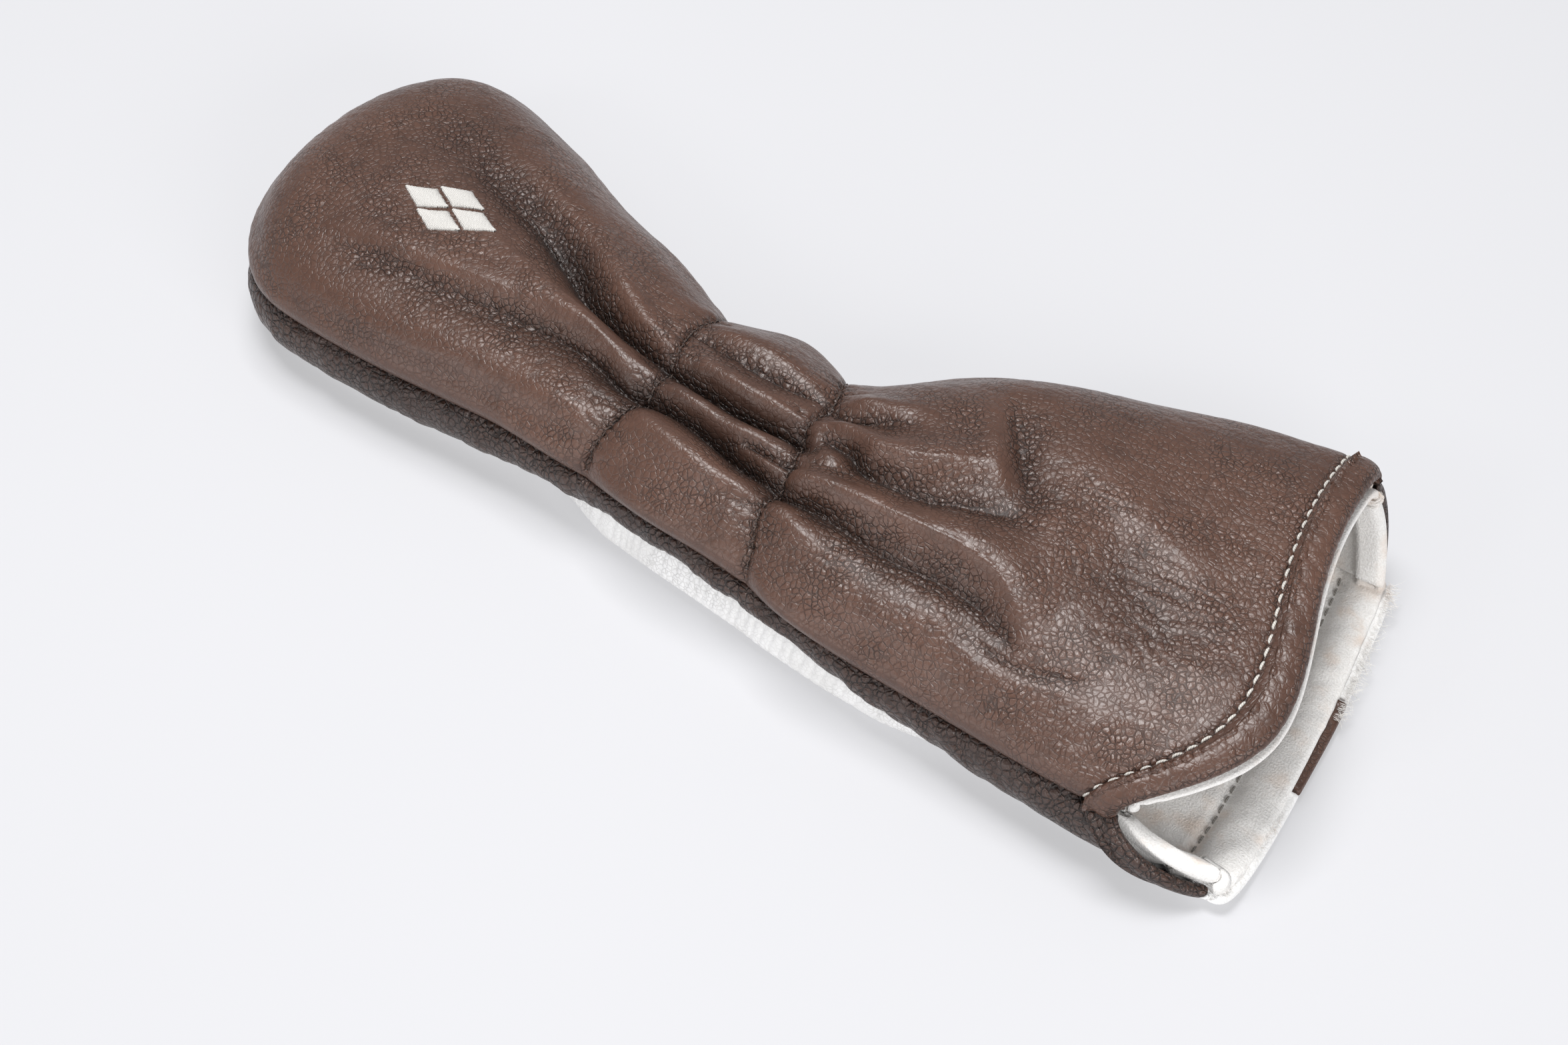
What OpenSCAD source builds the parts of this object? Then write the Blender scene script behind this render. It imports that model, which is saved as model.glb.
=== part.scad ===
// Head cover for a golf driver, lying on its underside with its mouth towards +X.
// The shell is a closed cross-section swept along X: a domed top panel, one side gusset that
// runs round the head end, and an underside made of two pale panels and a dark centre stripe.
// Every layer is the same sweep, set in from the outer skin by its own depth.

/* [Body] */
// Length from the head end to the furthest point of the top panel's mouth edge, mm
body_len = 338; // [300:1:360]
// Scale of all widths, 1 = as designed
width_scale = 1; // [0.9:0.01:1.1]
// Radius of the rounded corners of the head end, seen from above
head_corner = 36; // [30:1:42]
// How far the near corner of the top panel's mouth edge stands back from its furthest point
near_bow = 24; // [10:1:28]
// How far the far corner of the top panel's mouth edge stands back from its furthest point
far_bow = 17.5; // [6:0.5:22]
// How far the underside's near half reaches out at the mouth
mouth_skew = 4.5; // [0:0.5:6]

/* [Layers] */
// Thickness of the leather
leather_t = 1.2; // [0.8:0.1:1.6]
// Thickness of the lining
lining_t = 1.2; // [0.8:0.1:1.6]
// Thickness of the foam pads in the head pocket
pad_t = 2.0; // [1:0.1:2]
// Air left between neighbouring layers
gap = 0.35; // [0.2:0.05:0.4]
// Width of the dark stripe along the underside
stripe_w = 32; // [20:1:40]

/* [Gathers] */
// X of the elastic nearer the head
elastic_head_x = -20; // [-30:1:-10]
// X of the elastic nearer the mouth
elastic_mouth_x = 28; // [20:1:36]
// Width of each elastic band
elastic_w = 8; // [5:1:10]
// Thickness of each elastic band
elastic_t = 0.8; // [0.6:0.1:0.8]

/* [Stitching] */
// Radius of the sewing thread
thread_r = 0.35; // [0.25:0.05:0.45]
// Length of one stitch
stitch_len = 2.6; // [2:0.1:3]
// Distance from one stitch to the next
stitch_pitch = 3.6; // [3.4:0.1:5]
// Distance of the hem's topstitch from the mouth's edge
hem_w = 10; // [8:1:12]

/* [Embroidery] */
// X of the embroidered motif's centre
motif_x = -101; // [-110:1:-85]
// How far the motif's centre lies to the far side of the cover's centre line
motif_y = -5.5; // [-12:0.5:6]
// Length of one lozenge along the cover
lozenge_len = 15; // [10:1:18]
// Width of one lozenge across the cover
lozenge_w = 8.5; // [6:0.5:10]

/* [Hidden] */

brown = [0.27, 0.18, 0.14];
pale = [0.92, 0.91, 0.88];
cream = [0.88, 0.85, 0.80];
thread_white = [0.93, 0.92, 0.89];
foam_grey = [0.55, 0.55, 0.57];

tip_x = -167;
mouth_x = tip_x + body_len;

// Moves the sweep so that the origin lies under the middle of the whole cover
centring = [-4.4, -12.78];

// The cover's shape where it changes. The columns are x, half width, centre y, top z, top seam z,
// lower seam z, underside z, how far the underside swells past its seams, and the top seam's tilt,
// which raises the far seam and lowers the near one.
shape = [
    [-167, 48, 18, 44, 22, 5, 2, 0, 0],
    [-135, 54.5, 16.5, 47, 22.5, 3, 0, 0, 0],
    [-115, 53.5, 13.5, 48, 23, 3, 0, 0, 0],
    [-95, 50, 10, 48, 23, 3, 0, 0, 0],
    [-72, 44.5, 5.5, 47, 23.5, 4, 0, 0, 0],
    [-50, 40, 2, 46, 24, 7, 1, 0, 0],
    [-24, 36, -4.5, 45, 25, 12, 3, 1.5, 0],
    [0, 38, -5, 46, 26, 15, 5, 3, 0],
    [24, 38, -7, 45, 26, 15, 5, 3.5, 0],
    [45, 46, -1.5, 48, 26, 14, 4, 3.5, 1],
    [70, 54.5, 5, 49, 25, 10, 2, 2.5, 2],
    [100, 59, 9, 48, 25, 5, 0, 0.5, 3],
    [135, 63.5, 12, 46, 27, 3, 0.5, 0, 4],
    [171, 65, 13, 45, 30, 4, 1.5, 0, 6],
];
HALF = 1;
CENTRE = 2;
TOP = 3;
SEAM = 4;
LOW = 5;
UNDER = 6;
SWELL = 7;
TILT = 8;
last = len(shape) - 1;

// One column of the shape table at x, on a smooth curve through its rows
function row_at(x) = max([for (i = [0 : last - 1]) if (x >= shape[i][0] || i == 0) i]);
function slope(i, k) =
    let (a = max(0, i - 1), b = min(last, i + 1))
    (shape[b][k] - shape[a][k]) / (shape[b][0] - shape[a][0]);
function at(x, k) =
    let (
        i = row_at(x),
        h = shape[i + 1][0] - shape[i][0],
        t = min(max((x - shape[i][0]) / h, 0), 1)
    )
    (2 * t^3 - 3 * t^2 + 1) * shape[i][k] + (t^3 - 2 * t^2 + t) * h * slope(i, k)
    + (3 * t^2 - 2 * t^3) * shape[i + 1][k] + (t^3 - t^2) * h * slope(i + 1, k);

// How far the outline and the dome have opened at distance e from the head end, 0 to 1.
// A power of 2 gives a round corner, and a higher one a squarer corner.
end_blunt = 0.5;
plan_power = 2.5;
dome_corner = 26;
dome_power = 2.2;
function opened(e, radius, power) =
    let (q = min(max(1 - e / radius, 0), 1)) (1 - q^power)^(1 / power);
function plan_open(e) = opened(e + end_blunt, head_corner, plan_power);
function dome_open(e) = opened(e, dome_corner, dome_power);

// Stations from the head end (s = 0) to the mouth (s = 1), closer together at the head end
station_power = 1.6;
function station(s, depth) = depth + (body_len - depth) * s^station_power;
function s_at_x(x) = ((x - tip_x) / body_len)^(1 / station_power);

// The top panel's mouth edge reaches furthest at this share of the half width, on the near side,
// and the far part of it has fallen back by about two thirds after this much more of it
mouth_peak = -0.43;
far_fall = 0.68;

// How far the mouth's edge stands back across the top and the underside, and at t down the gusset
function top_cut(across) =
    across > mouth_peak
    ? far_bow * (1 - exp(-((across - mouth_peak) / far_fall)^1.9))
    : near_bow * ((mouth_peak - across) / (1 + mouth_peak))^2;
under_reach = 2;
under_bow = 6;
function under_cut(v) = mouth_skew * v - under_reach + under_bow * (v > 0 ? v^2 : v^8);
function gusset_cut(side, t) = top_cut(side) + (under_cut(side) - top_cut(side)) * t;

// The mouth's cut fades out over this length
mouth_reach = 130;
function placed(x, y, z, cut) =
    [x - cut * max(0, min(1, (x - mouth_x) / mouth_reach + 1)) + centring[0], y + centring[1], z];

crease = 3; // the seams lie this far inside the widest line
tuck = 5; // the lower seam lies this much further in
gusset_bulge = 3.5; // the gusset stands out this far between its seams
flat_v = 0.6; // the underside is flat up to this share of its half width
across_power = 0.8; // the lower it is, the steeper the top's sides
rise_power = 0.85; // the lower it is, the flatter the top's crown
swell_power = 0.7; // the lower it is, the fuller the underside's sides

// Half width of the seams at x, for a layer set in by depth
function seam_half(x, open, depth) = (at(x, HALF) * width_scale - crease - depth) * open;

// Point on the top panel: s along, v across from -1 (near seam) to 1 (far seam), depth under the skin
function top_point(s, v, depth) =
    let (
        e = station(s, depth),
        x = tip_x + e,
        a = 90 * (1 - v),
        dome = dome_open(e - depth),
        across = v + (sign(v) * abs(cos(a))^across_power - v) * dome,
        y = at(x, CENTRE) + seam_half(x, plan_open(e - depth), depth) * across,
        rise = (at(x, TOP) - at(x, SEAM) - depth) * dome
    )
    placed(x, y, at(x, SEAM) + at(x, TILT) * across + rise * sin(a)^rise_power, top_cut(across));

// Point on the gusset: side is -1 near or 1 far, t runs from the top seam (0) to the lower seam (1)
function gusset_point(s, side, t, depth) =
    let (
        e = station(s, depth),
        x = tip_x + e,
        open = plan_open(e - depth),
        bulge = gusset_bulge * sin(180 * t)^0.8 - tuck * t^2 * open,
        top = at(x, SEAM) + at(x, TILT) * side
    )
    placed(
        x,
        at(x, CENTRE) + side * (seam_half(x, open, depth) + bulge),
        top + (at(x, LOW) + depth - top) * t,
        gusset_cut(side, t)
    );

// Point on the underside: v across from -1 (near lower seam) to 1 (far lower seam)
function under_point(s, v, depth) =
    let (
        e = station(s, depth),
        x = tip_x + e,
        open = plan_open(e - depth),
        half = seam_half(x, open, depth) - tuck * open,
        turn = 90 * max(0, (abs(v) - flat_v) / (1 - flat_v)),
        swell = max(0, at(x, SWELL)) * max(0, sin(2 * turn))^swell_power,
        y = half * (min(abs(v), flat_v) + (1 - flat_v) * sin(turn)) + swell,
        under = max(0, at(x, UNDER))
    )
    placed(
        x,
        at(x, CENTRE) + sign(v) * y,
        under + depth + (at(x, LOW) - under) * (1 - cos(turn)),
        under_cut(v)
    );

// The v at which the underside's stripe ends, so that the stripe keeps its width
function stripe_v(s) =
    min(flat_v, stripe_w / 2 / max(4, abs(under_point(s, 0.5, 0)[1] - under_point(s, -0.5, 0)[1])));

// A closed shell between two point grids of the same size, outer and inner
module shell(outer, inner) {
    rows = len(outer);
    cols = len(outer[0]);
    tail = rows - 1;
    end = cols - 1;
    count = rows * cols;
    points = [for (grid = [outer, inner]) for (row = grid) for (p = row) p];
    function id(layer, i, j) = layer * count + i * cols + j;
    function quad(a, b, c, d) = [[a, b, c], [a, c, d]];
    faces = [
        for (i = [0 : tail - 1]) for (j = [0 : end - 1])
            each quad(id(0, i, j), id(0, i, j + 1), id(0, i + 1, j + 1), id(0, i + 1, j)),
        for (i = [0 : tail - 1]) for (j = [0 : end - 1])
            each quad(id(1, i, j), id(1, i + 1, j), id(1, i + 1, j + 1), id(1, i, j + 1)),
        for (i = [0 : tail - 1])
            each quad(id(0, i, 0), id(0, i + 1, 0), id(1, i + 1, 0), id(1, i, 0)),
        for (i = [0 : tail - 1])
            each quad(id(0, i, end), id(1, i, end), id(1, i + 1, end), id(0, i + 1, end)),
        for (j = [0 : end - 1])
            each quad(id(0, 0, j), id(1, 0, j), id(1, 0, j + 1), id(0, 0, j + 1)),
        for (j = [0 : end - 1])
            each quad(id(0, tail, j), id(0, tail, j + 1), id(1, tail, j + 1), id(1, tail, j)),
    ];
    polyhedron(points, faces);
}

// Number of steps along each kind of layer
leather_steps = 34;
lining_steps = 26;
function span(a, b, n) = [for (i = [0 : n]) a + (b - a) * i / n];

// Past the elastics a layer may come closer to the skin, by drop at most
drop_from_x = 36;
drop_to_x = 72;
function risen(s, depth, drop) =
    depth - drop * max(0, min(1, (tip_x + station(s, 0) - drop_from_x) / (drop_to_x - drop_from_x)));

module top_layer(s0, s1, v0, v1, depth, thick, along, around, drop = 0) {
    s = span(s0, s1, along);
    v = span(v0, v1, around);
    function grid(d) = [for (a = s) [for (b = v) top_point(a, b, risen(a, d, drop))]];
    shell(grid(depth), grid(depth + thick));
}

// stripe_side is -1 or 1 for a panel that stops at the stripe's near or far edge, and 0 otherwise
stripe_gap = 0.004;
module under_layer(s0, s1, v0, v1, depth, thick, along, around, stripe_side = 0, drop = 0) {
    s = span(s0, s1, along);
    v = span(0, 1, around);
    function across(a, b) =
        let (edge = stripe_v(a) + stripe_gap)
        let (lo = stripe_side > 0 ? edge : v0, hi = stripe_side < 0 ? -edge : v1)
        lo + (hi - lo) * b;
    function grid(d) = [for (a = s) [for (b = v) under_point(a, across(a, b), risen(a, d, drop))]];
    shell(grid(depth + thick), grid(depth));
}

// The gusset's path goes from the near mouth corner round the head end to the far mouth corner
module gusset_layer(depth, thick, along, t_steps, drop = 0) {
    s = span(0, 1, along);
    path = [for (i = [along : -1 : 0]) [s[i], -1], for (i = [0 : along]) [s[i], 1]];
    t = span(0, 1, t_steps);
    function grid(d) =
        [for (p = path) [for (b = t) gusset_point(p[0], p[1], b, risen(p[0], d, drop))]];
    shell(grid(depth), grid(depth + thick));
}

// Straight stitches along a list of points, each one its own short thread
module stitches(points) {
    for (i = [0 : len(points) - 2]) {
        a = points[i];
        d = points[i + 1] - a;
        run = norm(d);
        length = run * stitch_len / stitch_pitch;
        translate(a + d * (1 - length / run) / 2)
            rotate([0, acos(d[2] / run), atan2(d[1], d[0])])
                cylinder(h = length, r = thread_r, $fn = 24);
    }
}

// Depths of the layers under the leather, and how much closer to it the lining lies in the skirt
backing_t = 0.2;
inner_depth = leather_t + gap;
pad_depth = inner_depth + backing_t + gap;
lining_depth = pad_depth + pad_t + gap;
lining_drop = lining_depth - inner_depth;

module top_panel() {
    color(brown) top_layer(0, 1, -1, 1, 0, leather_t, leather_steps, 18);
}

module side_gusset() {
    color(brown) gusset_layer(0, leather_t, leather_steps, 5);
}

module underside_panel_near() {
    color(pale) under_layer(0, 1, -1, 0, 0, leather_t, leather_steps, 5, -1);
}

module underside_stripe() {
    s = span(0, 1, leather_steps);
    color(brown) shell(
        [for (a = s) [for (b = [-1, 0, 1]) under_point(a, b * stripe_v(a), leather_t)]],
        [for (a = s) [for (b = [-1, 0, 1]) under_point(a, b * stripe_v(a), 0)]]
    );
}

module underside_panel_far() {
    color(pale) under_layer(0, 1, 0, 1, 0, leather_t, leather_steps, 5, 1);
}

module lining_top() {
    color(cream) top_layer(0, 1, -1, 1, lining_depth, lining_t, lining_steps, 14, lining_drop);
}

module lining_gusset() {
    color(cream) gusset_layer(lining_depth, lining_t, lining_steps, 4, lining_drop);
}

module lining_underside() {
    color(cream) under_layer(0, 1, -1, 1, lining_depth, lining_t, lining_steps, 12, 0, lining_drop);
}

// Where the pads start and end along X, and how far pads, elastics and gathers reach across
pad_from_x = -150;
pad_to_x = -45;
pad_top_v = 0.8;
pad_under_v = 0.85;
elastic_v = 0.9;
gather_v = 0.86;

module padding_top() {
    color(foam_grey) top_layer(
        s_at_x(pad_from_x), s_at_x(pad_to_x), -pad_top_v, pad_top_v, pad_depth, pad_t, 16, 14
    );
}

module padding_underside() {
    color(foam_grey) under_layer(
        s_at_x(pad_from_x), s_at_x(pad_to_x), -pad_under_v, pad_under_v, pad_depth, pad_t, 16, 8
    );
}

module elastic_band(x) {
    color(thread_white) top_layer(
        s_at_x(x - elastic_w / 2), s_at_x(x + elastic_w / 2),
        -elastic_v, elastic_v, inner_depth, elastic_t, 2, 18
    );
}

// A row of stitches across the top panel, just proud of it
module gather_stitch(x) {
    steps = 26;
    color(brown)
        stitches([for (v = span(-gather_v, gather_v, steps)) top_point(s_at_x(x), v, -thread_r)]);
}

module hem_topstitch() {
    s = s_at_x(mouth_x - hem_w);
    top = [for (v = span(1, -1, 44)) top_point(s, v, -thread_r)];
    near = [for (t = span(0, 1, 8)) gusset_point(s, -1, t, -thread_r)];
    under = [for (v = span(-1, 1, 32)) under_point(s, v, -thread_r)];
    far = [for (t = span(1, 0, 8)) gusset_point(s, 1, t, -thread_r)];
    color(thread_white) {
        stitches(top);
        stitches(near);
        stitches(under);
        stitches(far);
    }
}

// Seam threads lie just inside the leather. One joins the gusset to a panel at t, 0 or 1
seam_steps = 70;
seam_depth = leather_t + thread_r + 0.05;
module seam_thread(t) {
    path = [
        for (i = [seam_steps : -1 : 2]) gusset_point(i / seam_steps, -1, t, seam_depth),
        for (i = [2 : seam_steps]) gusset_point(i / seam_steps, 1, t, seam_depth),
    ];
    color(brown) stitches(path);
}

module stripe_thread(side) {
    color(brown) stitches([for (i = [3 : seam_steps])
        under_point(i / seam_steps, side * stripe_v(i / seam_steps), seam_depth)]);
}

// The v at which a point of the top panel lies at y from its centre line
function v_at(x, y) =
    let (share = y / seam_half(x, 1, 0))
    sign(y) * (1 - acos(abs(share)^(1 / across_power)) / 90);

// A lozenge of satin stitch that follows the dome, its centre at dx, dy from the motif's. It stands
// satin_t proud of the leather and sinks into it a little, and its two tips are blunt.
satin_t = 0.6;
satin_sunk = 0.05;
blunt = 0.04;
module lozenge(dx, dy) {
    function satin(depth) = [for (u = span(-1, 1, 8)) [for (w = span(-1, 1, 4))
        let (x = motif_x + dx + u * lozenge_len / 2)
        let (y = motif_y + dy + w * (1 + blunt - abs(u)) * lozenge_w / 2)
        top_point(s_at_x(x), v_at(x, y), depth)]];
    color(thread_white) shell(satin(-satin_t), satin(-satin_sunk));
}

// The backing reaches past the lozenges on every side
backing_v = [-0.27, 0.12];
module embroidery_backing() {
    half_len = lozenge_len + 3;
    color(thread_white) top_layer(
        s_at_x(motif_x - half_len), s_at_x(motif_x + half_len),
        backing_v[0], backing_v[1], inner_depth, backing_t, 6, 8
    );
}

// The four lozenges stand round the motif's centre, this far from it
lozenge_dx = lozenge_len / 2 + 1;
lozenge_dy = lozenge_w / 2 + 1;

top_panel();
side_gusset();
underside_panel_near();
underside_stripe();
underside_panel_far();
lining_top();
lining_gusset();
lining_underside();
padding_top();
padding_underside();
elastic_band(elastic_head_x);  // elastic_band_head
elastic_band(elastic_mouth_x);  // elastic_band_mouth
gather_stitch(elastic_head_x);  // gather_stitch_head
gather_stitch(elastic_mouth_x);  // gather_stitch_mouth
hem_topstitch();
seam_thread(0);  // seam_thread_top
seam_thread(1);  // seam_thread_underside
stripe_thread(-1);  // stripe_thread_near
stripe_thread(1);  // stripe_thread_far
embroidery_backing();
lozenge(-lozenge_dx, 0);  // embroidered_lozenge_head
lozenge(lozenge_dx, 0);  // embroidered_lozenge_mouth
lozenge(0, -lozenge_dy);  // embroidered_lozenge_near
lozenge(0, lozenge_dy);  // embroidered_lozenge_far
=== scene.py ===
import math

import bpy
import mathutils
import numpy as np
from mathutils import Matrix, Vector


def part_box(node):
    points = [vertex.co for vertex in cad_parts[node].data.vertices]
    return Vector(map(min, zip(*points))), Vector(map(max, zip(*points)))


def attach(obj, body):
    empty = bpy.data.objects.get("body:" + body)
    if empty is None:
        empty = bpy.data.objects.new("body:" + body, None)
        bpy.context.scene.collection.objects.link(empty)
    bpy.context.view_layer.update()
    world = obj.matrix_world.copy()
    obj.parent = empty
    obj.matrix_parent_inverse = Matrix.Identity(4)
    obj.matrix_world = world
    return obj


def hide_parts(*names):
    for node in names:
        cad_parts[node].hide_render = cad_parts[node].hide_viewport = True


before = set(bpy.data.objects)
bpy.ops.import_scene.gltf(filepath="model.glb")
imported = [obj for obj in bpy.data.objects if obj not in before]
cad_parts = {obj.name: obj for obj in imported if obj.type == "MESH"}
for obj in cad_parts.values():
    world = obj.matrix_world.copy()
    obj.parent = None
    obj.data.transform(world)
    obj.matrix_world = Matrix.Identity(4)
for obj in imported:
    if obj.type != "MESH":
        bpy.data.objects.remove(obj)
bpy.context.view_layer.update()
bpy.context.scene.view_settings.view_transform = "Standard"

# Driver head cover, lying on its underside with its mouth towards +X. Shapes are worked out in
# millimetres in the frame's axes, and made in metres.
MM = 0.001
BODY = "root"
SEED = 7

# ---------------------------------------------------------------- the sweep, as the CAD model has it
# The body has axes of its own, with its head end at TABLE_HEAD_X. SHIFT moves them into the frame.
HEAD_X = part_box("top_panel")[0][0] / MM
BODY_LEN = 338.0
TABLE_HEAD_X = -167.0
SIDE_SHIFT = -12.78
SHIFT = (HEAD_X - TABLE_HEAD_X, SIDE_SHIFT)
HEAD_CORNER = 36.0
DOME_CORNER = 26.0
CREASE = 3.0
CORNER_POWER = 2.5
DOME_POWER = 2.2
ACROSS_POWER = 0.8
RISE_POWER = 0.85
TUCK = 5.0
FLAT = 0.6
TIP = 0.02
CLOSER = 0.05
MOUTH_FADE = 130.0
STRIPE_W = 32.0
HEM_W = 10.0
LEATHER_T = 1.2

# x, half width, centre y, top z, top seam z, lower seam z, underside z, swell, tilt
SHAPE = np.array([
    [-167, 48, 18, 44, 22, 5, 2, 0, 0],
    [-135, 54.5, 16.5, 47, 22.5, 3, 0, 0, 0],
    [-115, 53.5, 13.5, 48, 23, 3, 0, 0, 0],
    [-95, 50, 10, 48, 23, 3, 0, 0, 0],
    [-72, 44.5, 5.5, 47, 23.5, 4, 0, 0, 0],
    [-50, 40, 2, 46, 24, 7, 1, 0, 0],
    [-24, 36, -4.5, 45, 25, 12, 3, 1.5, 0],
    [0, 38, -5, 46, 26, 15, 5, 3, 0],
    [24, 38, -7, 45, 26, 15, 5, 3.5, 0],
    [45, 46, -1.5, 48, 26, 14, 4, 3.5, 1],
    [70, 54.5, 5, 49, 25, 10, 2, 2.5, 2],
    [100, 59, 9, 48, 25, 5, 0, 0.5, 3],
    [135, 63.5, 12, 46, 27, 3, 0.5, 0, 4],
    [171, 65, 13, 45, 30, 4, 1.5, 0, 6],
], float)
HALF, CENTRE, TOP, SEAM, LOW, UNDER, SWELL, TILT = range(1, 9)


def column(x, k):
    """One column of SHAPE at x, on a smooth curve through its rows."""
    xs, ys = SHAPE[:, 0], SHAPE[:, k]
    i = np.clip(np.searchsorted(xs, x, side="right") - 1, 0, len(xs) - 2)
    first, last = np.maximum(np.arange(len(xs)) - 1, 0), np.minimum(np.arange(len(xs)) + 1, len(xs) - 1)
    slope = (ys[last] - ys[first]) / (xs[last] - xs[first])
    h = xs[i + 1] - xs[i]
    t = np.clip((x - xs[i]) / h, 0, 1)
    return ((2 * t**3 - 3 * t**2 + 1) * ys[i] + (t**3 - 2 * t**2 + t) * h * slope[i]
            + (3 * t**2 - 2 * t**3) * ys[i + 1] + (t**3 - t**2) * h * slope[i + 1])


def opened(e, radius, power):
    """How far a rounded end has opened at distance e from it, 0 to 1."""
    q = np.clip(1 - e / radius, 0, 1)
    return (1 - q**power) ** (1 / power)


def bell(x, width):
    return np.exp(-((x / width) ** 2))


def smooth_step(x, a, b):
    t = np.clip((x - a) / (b - a), 0, 1)
    return t * t * (3 - 2 * t)


# The mouth's edge stands back from its furthest point, which lies a little to the near side
PEAK = -0.43
FAR_BOW = 17.5
FAR_FALL = 0.68
NEAR_BOW = 24.0
UNDER_SKEW = 4.5
UNDER_REACH = 2.0
UNDER_BOW = 6.0


def top_cut(across):
    """How far the top's mouth edge stands back, across from -1 near to 1 far."""
    far = FAR_BOW * (1 - np.exp(-((np.maximum(across - PEAK, 0) / FAR_FALL) ** 1.9)))
    near = NEAR_BOW * (np.maximum(PEAK - across, 0) / (1 + PEAK)) ** 2
    return far + near


def under_cut(v):
    """How far the underside's mouth edge stands back, v from -1 near to 1 far."""
    return UNDER_SKEW * v - UNDER_REACH + UNDER_BOW * np.where(v > 0, v**2, v**8)


def near_mouth(x):
    """0 over the head and the neck, rising to 1 at the mouth."""
    return np.clip((x - TABLE_HEAD_X - BODY_LEN) / MOUTH_FADE + 1, 0, 1)


def placed(x, y, z, cut):
    """Points of the body in the frame, where the mouth's edge is cut back."""
    return np.stack([x - cut * near_mouth(x) + SHIFT[0], y + SHIFT[1], z], -1)


def station(s):
    """Distance from the head end at s, 0 to 1, with the rows closer together at the head end."""
    return TIP + (BODY_LEN - TIP) * s * s * (1 + CLOSER) / (s + CLOSER)


def seam_half(x, e, depth):
    """Half the distance between the two top seams."""
    return (column(x, HALF) - CREASE - depth) * opened(e - depth, HEAD_CORNER, CORNER_POWER)


def top_skin(e, v, depth=0.0):
    """The domed top at distance e from the head end, v from -1 (near seam) to 1 (far seam)."""
    e = np.maximum(e, depth + TIP)
    x = TABLE_HEAD_X + e
    angle = math.pi / 2 * (1 - v)
    dome = opened(e - depth, DOME_CORNER, DOME_POWER)
    cosine = np.cos(angle)
    across = v + (np.sign(cosine) * np.abs(cosine) ** ACROSS_POWER - v) * dome
    rise = (column(x, TOP) - column(x, SEAM) - depth) * dome
    z = column(x, SEAM) + column(x, TILT) * across + rise * np.clip(np.sin(angle), 0, 1) ** RISE_POWER
    return placed(x, column(x, CENTRE) + seam_half(x, e, depth) * across, z, top_cut(across))


def seam_at(e, side):
    """The seam between the top and the gusset, on side -1 near or 1 far."""
    x = TABLE_HEAD_X + e
    y = column(x, CENTRE) + side * seam_half(x, e, 0)
    return placed(x, y, column(x, SEAM) + column(x, TILT) * side, top_cut(side))


# ---------------------------------------------------------------- folds
def spline(rows):
    """A smooth curve through the rows, as closely spaced rows."""
    samples = 10
    rows = np.array(rows, float)
    ends = np.vstack([2 * rows[0] - rows[1], rows, 2 * rows[-1] - rows[-2]])
    out = []
    for a, b, c, d in zip(ends, ends[1:], ends[2:], ends[3:]):
        for t in np.arange(samples) / samples:
            out.append(0.5 * (2 * b + (c - a) * t + (2 * a - 5 * b + 4 * c - d) * t**2
                              + (3 * b - a - 3 * c + d) * t**3))
    out.append(rows[-1])
    return np.array(out)


def stroke(xy, rows, power, gain=1.0):
    """Height at xy of a fold along rows of x, y, height, width on the far side, width on the near side.

    A power of 2 gives a round roll, and one under 1 a sharp crease. Wide folds are always round, and the
    gain deepens only narrow ones."""
    line = spline(rows)
    total = np.zeros(len(xy))
    reach = 3.2 * max(line[:, 3].max(), line[:, 4].max())
    box = ((xy > line[:, :2].min(0) - reach) & (xy < line[:, :2].max(0) + reach)).all(1)
    near = np.flatnonzero(box)
    pts = xy[near]
    best = np.full(len(pts), 1e9)
    value = np.zeros(len(pts))
    for a, b in zip(line[:-1], line[1:]):
        d = (b - a)[:2]
        rel = pts - a[:2]
        t = np.clip(rel @ d / max(d @ d, 1e-9), 0, 1)
        dist = np.hypot(rel[:, 0] - t * d[0], rel[:, 1] - t * d[1])
        left = d[0] * rel[:, 1] - d[1] * rel[:, 0] > 0
        width = np.where(left, a[3] + t * (b[3] - a[3]), a[4] + t * (b[4] - a[4]))
        height = np.interp(width, (4, 10), (gain, 1.0)) * (a[2] + t * (b[2] - a[2]))
        sharp = np.interp(width, (3.5, 9), (power, 2.0))
        here = height * np.exp(-(np.sqrt(dist**2 + 0.04) / width) ** sharp)
        closer = dist < best
        best[closer] = dist[closer]
        value[closer] = here[closer]
    total[near] = value
    return total


def noise(u, w, seed):
    """Smooth random values from -1 to 1 over u and w, one wave to about two units."""
    table = np.random.default_rng(SEED + seed).uniform(-1, 1, (64, 64))
    iu, iw = np.floor(u).astype(int), np.floor(w).astype(int)
    fu, fw = u - iu, w - iw
    fu, fw = fu * fu * (3 - 2 * fu), fw * fw * (3 - 2 * fw)
    a, b = table[iu % 64, iw % 64], table[(iu + 1) % 64, iw % 64]
    c, d = table[iu % 64, (iw + 1) % 64], table[(iu + 1) % 64, (iw + 1) % 64]
    return a * (1 - fu) * (1 - fw) + b * fu * (1 - fw) + c * (1 - fu) * fw + d * fu * fw


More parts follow.
